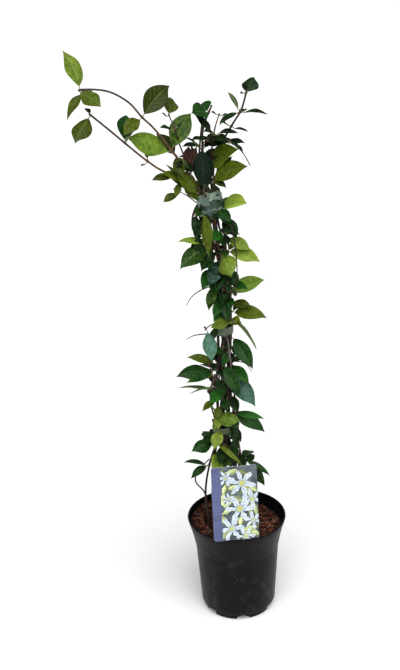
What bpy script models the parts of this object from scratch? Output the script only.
"""Potted star jasmine: a climbing shrub trained up a cane in a round nursery pot.

Units are metres with +Z up. The origin is the centre of the pot's base and the plant's
front faces -Y. Tables of places are written in millimetres and degrees, and an azimuth
runs from +X (0) over +Y (90, the back) and -X (180) to -Y (270, the front).
"""

import math
from collections import namedtuple

import bmesh
import bpy
from mathutils import Matrix, Vector

MM = 0.001
GAP = 0.4 * MM
TOLERANCE = 0.1 * MM

# Pot: outer wall as (height, radius) from the rim down, in millimetres
POT_WALL = (
    (170.5, 83.6),
    (148.0, 77.2),
    (126.0, 71.6),
    (118.0, 70.4),
    (70.0, 68.2),
    (22.0, 66.2),
    (12.0, 65.4),
    (4.0, 62.6),
)
POT_HEIGHT = 178.0 * MM
POT_RIM_RADIUS = 85.0 * MM
POT_FOOT_RADIUS = 61.5 * MM
POT_THICKNESS = 1.9 * MM
POT_SEGMENTS = 48
LIP_RADIUS = 1.6 * MM
FOOT_RING_INNER = 53.0 * MM
FOOT_NOTCH_HEIGHT = 6.0 * MM
FOOT_NOTCHES = 6
FOOT_NOTCH_WIDTH = 22.0 * MM
FIRST_NOTCH_AZIMUTH = 277.0
BASE_PAD_RADIUS = 28.0 * MM
UNDERSIDE_SLOPE = 1.0 * MM
FLOOR_HEIGHT = 9.0 * MM
FLOOR_CORNER = 3.0 * MM
DRAIN_RADIUS = 4.0 * MM
DRAIN_CIRCLE = 41.0 * MM
DRAIN_SEGMENTS = 12
DRAIN_CUT = 10.0 * MM

# Root ball: its top is uneven by a long and a short wave, in radians per metre
SOIL_HEIGHT = 157.0 * MM
SOIL_SEGMENTS = 40
SOIL_RINGS = 5
SOIL_ROUGHNESS = 2.0 * MM
SOIL_LONG_WAVE = 140.0
SOIL_SHORT_WAVE = 310.0
HOLE_RISE = 40.0 * MM

# Cane: centre line and taper
CANE_ROUTE = (
    (-18, 4, 45),
    (-18, 2, 180),
    (-20, 0, 330),
    (-17, 0, 440),
    (-12, 0, 540),
    (-12, 0, 600),
    (-18, 0, 665),
    (-25, 0, 725),
    (-35, 0, 775),
    (-56, 0, 842),
)
CANE_RADIUS = 3.6 * MM
CANE_TIP_RADIUS = 1.1 * MM
CANE_POINT = 20.0 * MM

# Vine stems: they stand round the cane at a set radius and twine slowly about it
COLUMN_START = 325.0
COLUMN_STEP = 30.0
COLUMN_RADIUS = 11.0
CROWN_RADIUS = 15.5
CROWN_START = 600.0
CROWN_END = 750.0
TWINE = 0.05
STEM_BURIED_AT = 135.0
STEM_UPRIGHT_TO = 175.0
STEM_RADIUS = 1.6 * MM
STEM_TIP_RADIUS = 0.9 * MM
SHOOT_RADIUS = 1.3 * MM
SAMPLE_STEP = 26.0 * MM
STEMS = {
    "stem_front": {
        "foot": ((-24, -34), (-26, -27, 235), (-24, -17, 290)),
        "azimuth": 262,
        "release": 775,
        "shoot": ((-44, -15, 796), (-49, -14, 812)),
    },
    "stem_left": {
        "foot": ((-47, -20), (-52, -18, 233), (-44, -12, 285)),
        "azimuth": 205,
        "release": 775,
        "shoot": (
            (-70, -12, 792),
            (-104, -15, 808),
            (-127, -25, 829),
            (-154, -35, 857),
            (-179, -40, 882),
            (-204, -45, 906),
        ),
    },
    "stem_back_left": {
        "foot": ((-42, 22), (-40, 17, 235), (-34, 11, 290)),
        "azimuth": 150,
        "release": 775,
        "shoot": (
            (-66, 2, 803),
            (-83, -4, 831),
            (-110, -11, 871),
            (-127, -15, 890),
            (-146, -20, 915),
            (-173, -25, 933),
            (-202, -26, 938),
            (-220, -26, 937),
        ),
    },
    "stem_back": {
        "foot": ((-12, 36), (-14, 27, 235), (-19, 17, 290)),
        "azimuth": 98,
        "release": 775,
        "shoot": ((-44, 24, 820), (-38, 36, 868)),
    },
    "stem_back_right": {
        "foot": ((16, 34), (6, 26, 235), (-6, 15, 290)),
        "azimuth": 48,
        "release": 775,
        "shoot": ((-31, 12, 820), (-34, 10, 850), (-33, 9, 872), (-22, 8, 900)),
    },
    "stem_right": {
        "foot": ((30, 16), (26, 12, 235), (10, 6, 290)),
        "azimuth": 356,
        "release": 775,
        "shoot": (
            (-18, 1, 800),
            (-13, 0, 825),
            (2, 0, 857),
            (12, 0, 877),
            (23, 0, 895),
            (31, 0, 922),
        ),
    },
    "stem_front_right": {
        "foot": ((6, -28), (0, -22, 235), (-8, -14, 290)),
        "azimuth": 312,
        "release": 775,
        "shoot": (
            (-31, -14, 815),
            (-35, -8, 843),
            (-19, -10, 858),
            (-4, -15, 853),
            (10, -20, 844),
            (33, -20, 815),
        ),
    },
}

# Leaf pairs. Column: (stem, height of the node, tone, leaf, leaf); shoots: (stem, distance
# back from the tip, tone, leaf, leaf). A leaf is (azimuth, rise, length, facing), and
# facing turns the blade's upper side towards the plant's front.
COLUMN_LEAVES = (
    ("stem_right", 280, "dark", (324, -17, 54, 40), (70, -10, 48, 0)),
    ("stem_left", 282, "dark", (198, 10, 46, 10), (246, -14, 46, 40)),
    ("stem_front", 303, "mature", (232, -4, 40, 35), (290, 0, 38, 35)),
    ("stem_front", 334, "young", (254, -60, 38, 20), (316, -20, 56, -15)),
    ("stem_left", 328, "dark", (212, -8, 44, 35), (120, -5, 48, 0)),
    ("stem_back", 318, "mature", (60, 0, 52, 0), (140, 0, 52, 0)),
    ("stem_front_right", 312, "dark", (335, -8, 40, 20), (350, 30, 40, 20)),
    ("stem_right", 376, "dark", (352, -42, 58, 40), (22, -25, 58, 20)),
    ("stem_front", 380, "young", (236, -8, 34, 35), (300, -34, 42, 20)),
    ("stem_back", 404, "dark", (70, 5, 52, 0), (150, -5, 52, 0)),
    ("stem_back_left", 418, "dark", (165, -6, 52, -30), (85, -5, 48, 0)),
    ("stem_front", 424, "dark", (240, -16, 44, 40), (312, -20, 44, 30)),
    ("stem_front_right", 450, "dark", (322, -42, 64, 40), (5, -45, 48, 20)),
    ("stem_left", 460, "dark", (207, 2, 66, 30), (130, -10, 52, 0)),
    ("stem_right", 474, "dark", (345, -50, 46, 40), (60, -10, 52, 0)),
    ("stem_back_left", 470, "olive", (190, 22, 48, 20), (90, 10, 48, 0)),
    ("stem_front", 478, "dark", (225, -35, 46, 30), (290, -50, 50, 20)),
    ("stem_right", 512, "dark", (336, -58, 64, 40), (55, -15, 52, 0)),
    ("stem_left", 549, "dark", (238, -50, 60, 20), (150, 10, 52, 0)),
    ("stem_front_right", 554, "olive", (328, -45, 66, -45), (300, -12, 34, 30)),
    ("stem_right", 560, "olive", (337, -4, 64, 40), (50, 0, 52, 0)),
    ("stem_back_right", 574, "olive", (5, 2, 48, 40), (100, 5, 50, 0)),
    ("stem_back_right", 592, "mature", (25, 14, 60, 50), (110, 15, 50, 0)),
    ("stem_front", 596, "dark", (232, -15, 42, 40), (282, -48, 46, 20)),
    ("stem_back", 625, "mature", (70, 0, 52, 0), (145, 0, 52, 0)),
    ("stem_front", 662, "mature", (246, -40, 54, 30), (300, -42, 48, 30)),
    ("stem_right", 672, "young", (330, -16, 52, 50), (54, 8, 38, 0)),
    ("stem_left", 684, "dark", (200, 14, 50, 30), (230, -26, 62, 40)),
    ("stem_front_right", 700, "dark", (300, -22, 38, 30), (345, -5, 42, 30)),
    ("stem_back_left", 705, "dark", (165, -10, 48, 20), (95, 10, 48, 0)),
    ("stem_front", 728, "olive", (262, -58, 68, 50), (215, -45, 36, 20)),
    ("stem_right", 726, "young", (338, 16, 54, 40), (60, 0, 44, 0)),
    ("stem_front", 784, "dark", (258, 66, 64, 0), (205, -22, 44, 30)),
    ("stem_front_right", 788, "olive", (343, 20, 64, 50), (300, -30, 40, 20)),
    ("stem_back_right", 806, "mature", (18, 30, 60, 50), (95, 20, 48, 0)),
)
SHOOT_LEAVES = (
    ("stem_back_left", 3, "young", (126, 57, 62, 0), (320, -4, 44, 20)),
    ("stem_back_left", 18, "olive", (248, -42, 50, 10), (60, -20, 40, 0)),
    ("stem_back_left", 111, "olive", (225, -20, 52, 45), (53, 30, 64, 50)),
    ("stem_back_left", 186, "mature", (197, 24, 72, 60), (66, 46, 66, 30)),
    ("stem_left", 3, "mature", (251, -38, 52, 20), (120, 20, 32, 0)),
    ("stem_left", 165, "olive", (218, 50, 36, 20), (250, -30, 34, 20)),
    ("stem_right", 3, "dark", (60, 43, 26, 0), (230, 10, 22, 30)),
    ("stem_right", 31, "dark", (122, 35, 42, 20), (325, 0, 52, 10)),
    ("stem_right", 52, "dark", (216, -10, 46, 10), (50, 10, 35, 0)),
    ("stem_back_right", 3, "dark", (255, -12, 32, 35), (110, 30, 34, 0)),
    ("stem_front_right", 88, "dark", (185, 30, 42, 35), (320, -25, 30, 30)),
)
LEAF_COLOURS = {
    "young": (0.15, 0.26, 0.03),
    "mature": (0.06, 0.13, 0.02),
    "dark": (0.015, 0.05, 0.02),
    "olive": (0.08, 0.1, 0.02),
}
LEAF_WIDTH_RATIO = 0.45
LEAF_THICKNESS = 0.6 * MM
LEAF_FOLD = 14.0
LEAF_DROOP = 26.0
LEAF_STATIONS = (0.0, 0.13, 0.36, 0.62, 0.85, 1.0)
LEAF_TIP_WIDTH = 1.0 * MM
PETIOLE_WIDTH = 1.6 * MM
PETIOLE_REACH = 2.4 * MM
PETIOLE_LENGTH = 5.0 * MM
COLLAR_STEP = 50.0

# Ties: height of the band's middle, its width along the stems and its inner radius. The
# upper one has a cut tail. Each is square to the cane, sighted a little above and below.
TIES = {
    "tie_lower": (346.5, 11.0, 13.4),
    "tie_middle": (532.5, 18.0, 13.4),
    "tie_upper": (756.0, 40.0, 17.8),
}
TAPE_THICKNESS = 0.9 * MM
TIE_SEGMENTS = 32
TIE_SIGHT = 8.0
TAIL_LENGTH = 16.0 * MM
TAIL_WIDTH = 14.0 * MM
TAIL_OVERLAP = 1.0 * MM
TAIL_OFFSET = -2.0 * MM
TAIL_DROP = 2.0 * MM

# Plant label: card, bridge over the rim and spike into the soil
CARD_WIDTH = 80.0 * MM
CARD_HEIGHT = 130.0 * MM
CARD_THICKNESS = 0.9 * MM
CARD_CORNER = 4.0 * MM
CARD_LEAN = 15.0
CARD_FOOT = (-2.0 * MM, -87.0 * MM, 180.5 * MM)
SPIKE_WIDTH = 9.0 * MM
SPIKE_THICKNESS = 2.0 * MM
SPIKE_SETBACK = 24.0 * MM
SPIKE_TIP_HEIGHT = 95.0 * MM
BRIDGE_HEIGHT = 184.0 * MM
BRIDGE_START = 0.4 * MM

Row = namedtuple("Row", "centre along upward half_width fold")


def material(name, colour, roughness, metallic=0.0):
    """A plain Principled material."""
    made = bpy.data.materials.new(name)
    made.use_nodes = True
    shader = made.node_tree.nodes["Principled BSDF"]
    shader.inputs["Base Color"].default_value = (*colour, 1.0)
    shader.inputs["Roughness"].default_value = roughness
    shader.inputs["Metallic"].default_value = metallic
    return made


def add_object(name, bm, finish, smooth_angle=None):
    """Turn a bmesh into a named object with its material."""
    mesh = bpy.data.meshes.new(name)
    bm.to_mesh(mesh)
    bm.free()
    mesh.materials.append(finish)
    if smooth_angle is not None:
        mesh.shade_smooth()
        mesh.set_sharp_from_angle(angle=math.radians(smooth_angle))
    made = bpy.data.objects.new(name, mesh)
    bpy.context.scene.collection.objects.link(made)
    return made


def add_boolean(target, cutter, operation):
    """Cut or join another object, which the part itself leaves out."""
    cutter.hide_render = True
    cutter.display_type = "WIRE"
    modifier = target.modifiers.new(cutter.name, "BOOLEAN")
    modifier.operation = operation
    modifier.object = cutter
    modifier.solver = "EXACT"


def turned(profile, segments):
    """A closed solid of revolution about Z from (radius, height) points."""
    bm = bmesh.new()
    points = [bm.verts.new((radius, 0, height)) for radius, height in profile]
    edges = [bm.edges.new(pair) for pair in zip(points, points[1:])]
    if profile[0][0] > 0:
        edges.append(bm.edges.new((points[-1], points[0])))
    bmesh.ops.spin(bm, geom=points + edges, axis=(0, 0, 1), cent=(0, 0, 0),
                   angle=2 * math.pi, steps=segments, use_merge=True)
    bmesh.ops.remove_doubles(bm, verts=bm.verts, dist=0.01 * MM)
    bmesh.ops.recalc_face_normals(bm, faces=bm.faces)
    return bm


def box(size, centre):
    """A box of the given size about its centre."""
    bm = bmesh.new()
    place = Matrix.Translation(centre) @ Matrix.Diagonal((*size, 1.0))
    bmesh.ops.create_cube(bm, size=1.0, matrix=place)
    return bm


def smooth_route(points, step):
    """Points about one step apart on a smooth curve through the route's own points."""
    ends = [points[0] * 2 - points[1]] + list(points) + [points[-1] * 2 - points[-2]]
    route = []
    for before, start, end, after in zip(ends, ends[1:], ends[2:], ends[3:]):
        pieces = max(1, round((end - start).length / step))
        for index in range(pieces):
            t = index / pieces
            bend = (2 * start + (end - before) * t
                    + (2 * before - 5 * start + 4 * end - after) * t ** 2
                    + (3 * start - before - 3 * end + after) * t ** 3)
            route.append(bend * 0.5)
    route.append(Vector(points[-1]))
    return route


def tube(name, route, radii, resolution=1):
    """A curve object that follows the route, with capped ends."""
    curve = bpy.data.curves.new(name, "CURVE")
    curve.dimensions = "3D"
    curve.bevel_depth = 1.0
    curve.bevel_resolution = resolution
    curve.use_fill_caps = True
    spline = curve.splines.new("POLY")
    spline.points.add(len(route) - 1)
    for point, place, radius in zip(spline.points, route, radii):
        point.co = (*place, 1.0)
        point.radius = radius
    return bpy.data.objects.new(name, curve)


def add_tube(name, route, radii, finish, resolution=1):
    """A tube that is part of the object."""
    made = tube(name, route, radii, resolution)
    made.data.materials.append(finish)
    bpy.context.scene.collection.objects.link(made)
    return made


def tube_cutter(name, route, radius):
    """A mesh tube for cutting a hole."""
    guide = tube(name + "_guide", route, [radius] * len(route), 2)
    bpy.context.scene.collection.objects.link(guide)
    bpy.context.view_layer.update()
    seen = guide.evaluated_get(bpy.context.evaluated_depsgraph_get())
    mesh = bpy.data.meshes.new_from_object(seen)
    bpy.data.objects.remove(guide)
    cutter = bpy.data.objects.new(name, mesh)
    bpy.context.scene.collection.objects.link(cutter)
    return cutter


def pot_inner_radius(height):
    """Radius of the pot's inner wall at a height, in metres."""
    level = height / MM
    for (high, wide), (low, narrow) in zip(POT_WALL, POT_WALL[1:]):
        if level >= low:
            share = (level - low) / (high - low)
            return (narrow + (wide - narrow) * min(share, 1.0)) * MM - POT_THICKNESS
    return POT_WALL[-1][1] * MM - POT_THICKNESS


def pot_profile():
    """The pot's wall, rolled lip, floor and feet, from the axis inside to the axis below."""
    corner = pot_inner_radius(FLOOR_HEIGHT) - FLOOR_CORNER
    profile = [(0, FLOOR_HEIGHT), (corner, FLOOR_HEIGHT)]
    for height, _ in reversed(POT_WALL[:-1]):
        profile.append((pot_inner_radius(height * MM), height * MM))
    lip_centre = Vector((POT_RIM_RADIUS - LIP_RADIUS, POT_HEIGHT - LIP_RADIUS))
    for degrees in range(180, -46, -45):
        turn = math.radians(degrees)
        profile.append((lip_centre.x + LIP_RADIUS * math.cos(turn),
                        lip_centre.y + LIP_RADIUS * math.sin(turn)))
    for height, radius in POT_WALL:
        profile.append((radius * MM, height * MM))
    profile.append((POT_FOOT_RADIUS, 0))
    profile.append((FOOT_RING_INNER, 0))
    profile.append((FOOT_RING_INNER - UNDERSIDE_SLOPE, FOOT_NOTCH_HEIGHT))
    profile.append((BASE_PAD_RADIUS + UNDERSIDE_SLOPE, FOOT_NOTCH_HEIGHT))
    profile.append((BASE_PAD_RADIUS, 0))
    profile.append((0, 0))
    return profile


def base_cutters():
    """The gaps between the feet and the drain holes, as one cutter."""
    bm = bmesh.new()
    start = FOOT_RING_INNER - UNDERSIDE_SLOPE / 2
    length = POT_RIM_RADIUS - start
    notch = Matrix.Translation((start + length / 2, 0, 0))
    size = Matrix.Diagonal((length, FOOT_NOTCH_WIDTH, 2 * FOOT_NOTCH_HEIGHT, 1))
    drain = Matrix.Translation((DRAIN_CIRCLE, 0, (FLOOR_HEIGHT + FOOT_NOTCH_HEIGHT) / 2))
    for index in range(FOOT_NOTCHES):
        azimuth = math.radians(FIRST_NOTCH_AZIMUTH + index * 360 / FOOT_NOTCHES)
        turn = Matrix.Rotation(azimuth, 4, "Z")
        bmesh.ops.create_cube(bm, size=1.0, matrix=turn @ notch @ size)
        bmesh.ops.create_cone(bm, cap_ends=True, segments=DRAIN_SEGMENTS,
                              radius1=DRAIN_RADIUS, radius2=DRAIN_RADIUS,
                              depth=DRAIN_CUT, matrix=turn @ drain)
    return bm


def build_pot():
    """Round nursery pot with a flared collar, feet and drain holes."""
    black = material("black_pot_plastic", (0.018, 0.018, 0.02), 0.5)
    pot = add_object("pot", turned(pot_profile(), POT_SEGMENTS), black, 35)
    cutter = add_object("pot_base_cutter", base_cutters(), black)
    add_boolean(pot, cutter, "DIFFERENCE")


def soil_profile():
    """The root ball from the middle of its top, down the pot's wall, to its underside."""
    bottom = FLOOR_HEIGHT + GAP
    top_radius = pot_inner_radius(SOIL_HEIGHT) - GAP
    profile = [(top_radius * ring / SOIL_RINGS, SOIL_HEIGHT) for ring in range(SOIL_RINGS + 1)]
    for height, _ in POT_WALL[1:-1]:
        profile.append((pot_inner_radius(height * MM) - GAP, height * MM))
    profile.append((pot_inner_radius(bottom) - FLOOR_CORNER - GAP, bottom))
    profile.append((0, bottom))
    return profile


def soil_ripple(x, y):
    """Unevenness of the soil's top, between -1 and 1."""
    long_wave = math.sin(x * SOIL_LONG_WAVE + 1.0) * math.cos(y * SOIL_LONG_WAVE)
    short_wave = math.sin((x - y) * SOIL_SHORT_WAVE)
    return 0.7 * long_wave + 0.3 * short_wave


def build_soil(routes):
    """Root ball with a hole for everything that stands in it."""
    brown = material("coir_soil", (0.09, 0.045, 0.03), 0.95)
    bm = turned(soil_profile(), SOIL_SEGMENTS)
    edge = pot_inner_radius(SOIL_HEIGHT) - GAP
    for vert in bm.verts:
        if vert.co.z > SOIL_HEIGHT - TOLERANCE:
            inside = 1 - (vert.co.xy.length / edge) ** 4
            vert.co.z += SOIL_ROUGHNESS * inside * soil_ripple(vert.co.x, vert.co.y)
    soil = add_object("soil", bm, brown, 40)
    for name, (route, radius) in routes.items():
        buried = [point for point in route if point.z < SOIL_HEIGHT + HOLE_RISE]
        buried.insert(0, buried[0] + (buried[0] - buried[1]).normalized() * GAP)
        add_boolean(soil, tube_cutter(name + "_hole", buried, radius + GAP), "DIFFERENCE")
    slot_size = (SPIKE_WIDTH + 2 * GAP, SPIKE_THICKNESS + 2 * GAP, SOIL_HEIGHT)
    slot_centre = (CARD_FOOT[0], CARD_FOOT[1] + SPIKE_SETBACK,
                   SPIKE_TIP_HEIGHT - GAP + SOIL_HEIGHT / 2)
    slot = add_object("spike_slot", box(slot_size, slot_centre), brown)
    add_boolean(soil, slot, "DIFFERENCE")


def point_at_height(route, height):
    """Where a climbing route first passes a height."""
    for low, high in zip(route, route[1:]):
        if low.z <= height <= high.z:
            return low.lerp(high, (height - low.z) / (high.z - low.z))
    raise ValueError(f"no point at height {height}")


def point_from_tip(route, distance):
    """A point and the direction of growth, at a distance back from the route's tip."""
    for high, low in zip(reversed(route), list(reversed(route))[1:]):
        span = (high - low).length
        if distance <= span:
            return high.lerp(low, distance / span), (high - low).normalized()
        distance -= span
    raise ValueError("the stem is shorter than that")


def cane_route():
    """The cane's centre line."""
    return smooth_route([Vector(point) * MM for point in CANE_ROUTE], SAMPLE_STEP)


def build_cane(route):
    """Cane with a sharpened tip."""
    bark = material("cane_bark", (0.085, 0.055, 0.045), 0.6)
    tip = route[-1]
    shoulder = tip + (route[-2] - tip).normalized() * CANE_POINT
    points = [p for p in route[:-1] if (p - tip).length > CANE_POINT] + [shoulder, tip]
    radii = [CANE_RADIUS] * (len(points) - 1) + [CANE_TIP_RADIUS]
    add_tube("cane", points, radii, bark, 2)


def column_radius(height):
    """Distance of the stems from the cane's centre: it widens towards the crown."""
    share = (height - CROWN_START) / (CROWN_END - CROWN_START)
    share = min(max(share, 0.0), 1.0)
    share = share * share * (3 - 2 * share)
    return COLUMN_RADIUS + (CROWN_RADIUS - COLUMN_RADIUS) * share


def stem_route(plan, cane):
    """From the root ball up the cane, then out along the shoot."""
    (foot_x, foot_y), *rise = plan["foot"]
    points = [Vector((foot_x, foot_y, height)) for height in (STEM_BURIED_AT, STEM_UPRIGHT_TO)]
    points += [Vector(point) for point in rise]
    steps = round((plan["release"] - COLUMN_START) / COLUMN_STEP)
    for index in range(steps + 1):
        height = COLUMN_START + (plan["release"] - COLUMN_START) * index / steps
        azimuth = math.radians(plan["azimuth"] + TWINE * (height - COLUMN_START))
        centre = point_at_height(cane, height * MM) / MM
        radius = column_radius(height)
        points.append(centre + Vector((math.cos(azimuth), math.sin(azimuth), 0)) * radius)
    points += [Vector(point) for point in plan["shoot"]]
    return smooth_route([point * MM for point in points], SAMPLE_STEP)


def stem_radii(route):
    """Woody at the foot, thin at the tip."""
    count = len(route)
    return [STEM_RADIUS + (STEM_TIP_RADIUS - STEM_RADIUS) * (index / (count - 1)) ** 2
            for index in range(count)]


def build_stems(routes):
    """Vine stems."""
    bark = material("vine_bark", (0.11, 0.075, 0.05), 0.65)
    for name, route in routes.items():
        add_tube(name, route, stem_radii(route), bark)


def direction(azimuth, rise):
    """Unit vector from two angles in degrees."""
    turn, lift = math.radians(azimuth), math.radians(rise)
    return Vector((math.cos(turn) * math.cos(lift), math.sin(turn) * math.cos(lift),
                   math.sin(lift)))


def blade_width(share):
    """Half width of a lance-shaped leaf as a share of its full width."""
    return 0.5 * max(math.sin(math.pi * share ** 0.8), 0.0) ** 0.85


def spoke(leaf, growth):
    """Unit vector out of the stem, square to its growth, on the leaf's side."""
    heading = direction(*leaf[:2])
    return (heading - growth * heading.dot(growth)).normalized()


def leaf_rows(node, growth, reach, leaf):
    """Rows across one leaf, from its foot on the collar to its tip."""
    azimuth, rise, length, facing = leaf
    length *= MM
    roll = math.radians(-facing if math.cos(math.radians(azimuth)) < 0 else facing)
    outward = spoke(leaf, growth)
    centre = node + outward * (reach + PETIOLE_REACH)
    upward = (direction(azimuth, rise + 90) + growth).normalized()
    rows = [Row(centre, outward, upward, PETIOLE_WIDTH / 2, 0.0)]
    petiole = (outward + direction(azimuth, rise + LEAF_DROOP / 2)).normalized()
    centre = centre + petiole * PETIOLE_LENGTH
    blade = length - PETIOLE_LENGTH - PETIOLE_REACH
    past = 0.0
    for share in LEAF_STATIONS:
        lift = rise + LEAF_DROOP * (0.5 - share)
        chord_lift = lift + LEAF_DROOP * (share - past) / 2
        centre = centre + direction(azimuth, chord_lift) * (blade * (share - past))
        along = direction(azimuth, lift)
        upward = Matrix.Rotation(roll, 3, along) @ direction(azimuth, lift + 90)
        least = PETIOLE_WIDTH if share < 0.5 else LEAF_TIP_WIDTH
        half_width = max(blade_width(share) * length * LEAF_WIDTH_RATIO, least / 2)
        rows.append(Row(centre, along, upward, half_width, LEAF_FOLD))
        past = share
    return rows


def collar_rows(node, growth, reach, first, second):
    """Rows of the half ring that carries both petioles round the stem, the short way."""
    start, end = spoke(first, growth), spoke(second, growth)
    sweep = start.angle(end)
    axis = growth if start.cross(end).dot(growth) >= 0 else -growth
    steps = max(1, math.ceil(math.degrees(sweep) / COLLAR_STEP))
    rows = []
    for index in range(steps + 1):
        out = Matrix.Rotation(sweep * index / steps, 3, axis) @ start
        along = axis.cross(out)
        if index == 0:
            along = (along - out).normalized()
        if index == steps:
            along = (along + out).normalized()
        rows.append(Row(node + out * reach, along, growth, PETIOLE_WIDTH / 2, 0.0))
    return rows


def leaf_pair(name, node, growth, stem_radius, leaves, finish):
    """Two opposite leaves and the collar that joins them round the stem, in one piece."""
    if growth.z < 0:
        growth = -growth
    reach = stem_radius + GAP + PETIOLE_WIDTH / 2
    first, second = leaves
    inward = [row._replace(along=-row.along)
              for row in reversed(leaf_rows(node, growth, reach, first))]
    rows = inward + collar_rows(node, growth, reach, first, second)
    rows += leaf_rows(node, growth, reach, second)
    bm = bmesh.new()
    bmesh.ops.create_grid(bm, x_segments=2, y_segments=len(rows) - 1, size=1.0)
    bm.verts.ensure_lookup_table()
    for index, row in enumerate(rows):
        left = row.upward.cross(row.along).normalized()
        fold = math.radians(row.fold)
        lifted = row.along.cross(left).normalized() * math.sin(fold) * row.half_width
        flat = left * math.cos(fold) * row.half_width
        for column, offset in enumerate((lifted - flat, Vector(), lifted + flat)):
            bm.verts[index * 3 + column].co = row.centre + offset
    bmesh.ops.recalc_face_normals(bm, faces=bm.faces)
    made = add_object(name, bm, finish, 60)
    shell = made.modifiers.new("thickness", "SOLIDIFY")
    shell.thickness = LEAF_THICKNESS
    shell.offset = 0.0
    shell.use_even_offset = True


def build_leaves(routes):
    """Leaf pairs up the column and along the shoots."""
    greens = {tone: material("leaf_" + tone, colour, 0.4)
              for tone, colour in LEAF_COLOURS.items()}
    counts = {}
    plans = []
    for stem, height, tone, *leaves in COLUMN_LEAVES:
        route = routes[stem]
        node = point_at_height(route, height * MM)
        ahead = point_at_height(route, (height + 1) * MM)
        plans.append((stem, node, (ahead - node).normalized(), STEM_RADIUS, tone, leaves))
    for stem, distance, tone, *leaves in SHOOT_LEAVES:
        node, growth = point_from_tip(routes[stem], distance * MM)
        plans.append((stem, node, growth, SHOOT_RADIUS, tone, leaves))
    for stem, node, growth, radius, tone, leaves in plans:
        counts[stem] = counts.get(stem, 0) + 1
        name = f"{stem.replace('stem', 'leaves')}_{counts[stem]:02d}"
        leaf_pair(name, node, growth, radius, leaves, greens[tone])


def build_ties(cane):
    """Tape bands that hold the stems to the cane; the upper one has a cut tail."""
    tape = material("tie_tape", (0.14, 0.2, 0.15), 0.4)
    for name, (height, width, radius) in TIES.items():
        centre = point_at_height(cane, height * MM)
        above = point_at_height(cane, (height + TIE_SIGHT) * MM)
        below = point_at_height(cane, (height - TIE_SIGHT) * MM)
        axis = above - below
        place = Matrix.Translation(centre) @ axis.to_track_quat("Z", "Y").to_matrix().to_4x4()
        inner, half = radius * MM, width * MM / 2
        outer = inner + TAPE_THICKNESS
        bm = turned([(inner, half), (outer, half), (outer, -half), (inner, -half)], TIE_SEGMENTS)
        bm.transform(place)
        tie = add_object(name, bm, tape, 30)
        if name == "tie_upper":
            middle = (inner - TAIL_OVERLAP + TAIL_LENGTH / 2, TAIL_OFFSET,
                      half - TAIL_DROP - TAIL_WIDTH / 2)
            bm = box((TAIL_LENGTH, TAPE_THICKNESS, TAIL_WIDTH), middle)
            bm.transform(place)
            add_boolean(tie, add_object("tail_join", bm, tape), "UNION")


def build_label():
    """Blank card that leans back over the rim on its own hooked spike."""
    card_white = material("label_card", (0.3, 0.34, 0.36), 0.25)
    lean = Matrix.Rotation(math.radians(-CARD_LEAN), 4, "X")
    place = Matrix.Translation(CARD_FOOT) @ lean
    bm = box((CARD_WIDTH, CARD_THICKNESS, CARD_HEIGHT), (0, 0, CARD_HEIGHT / 2))
    corners = [edge for edge in bm.edges
               if abs((edge.verts[0].co - edge.verts[1].co).y) > CARD_THICKNESS / 2]
    bmesh.ops.bevel(bm, geom=corners, offset=CARD_CORNER, segments=4, profile=0.5,
                    affect="EDGES", material=-1)
    bm.transform(place)
    label = add_object("label", bm, card_white, 30)
    reach = SPIKE_SETBACK + SPIKE_THICKNESS / 2
    bridge_centre = (CARD_FOOT[0], CARD_FOOT[1] + BRIDGE_START + reach / 2, BRIDGE_HEIGHT)
    bridge = add_object("bridge_join", box((SPIKE_WIDTH, reach, SPIKE_THICKNESS), bridge_centre),
                        card_white)
    spike_height = BRIDGE_HEIGHT - SPIKE_TIP_HEIGHT
    spike_centre = (CARD_FOOT[0], CARD_FOOT[1] + SPIKE_SETBACK,
                    SPIKE_TIP_HEIGHT + spike_height / 2)
    spike = add_object("spike_join", box((SPIKE_WIDTH, SPIKE_THICKNESS, spike_height),
                                         spike_centre), card_white)
    add_boolean(label, bridge, "UNION")
    add_boolean(label, spike, "UNION")


def main():
    """Clear the scene and build every piece."""
    for old in list(bpy.data.objects):
        bpy.data.objects.remove(old)
    cane = cane_route()
    stems = {name: stem_route(plan, cane) for name, plan in STEMS.items()}
    build_pot()
    holes = {name: (route, STEM_RADIUS) for name, route in stems.items()}
    build_soil({**holes, "cane": (cane, CANE_RADIUS)})
    build_cane(cane)
    build_stems(stems)
    build_leaves(stems)
    build_ties(cane)
    build_label()


main()
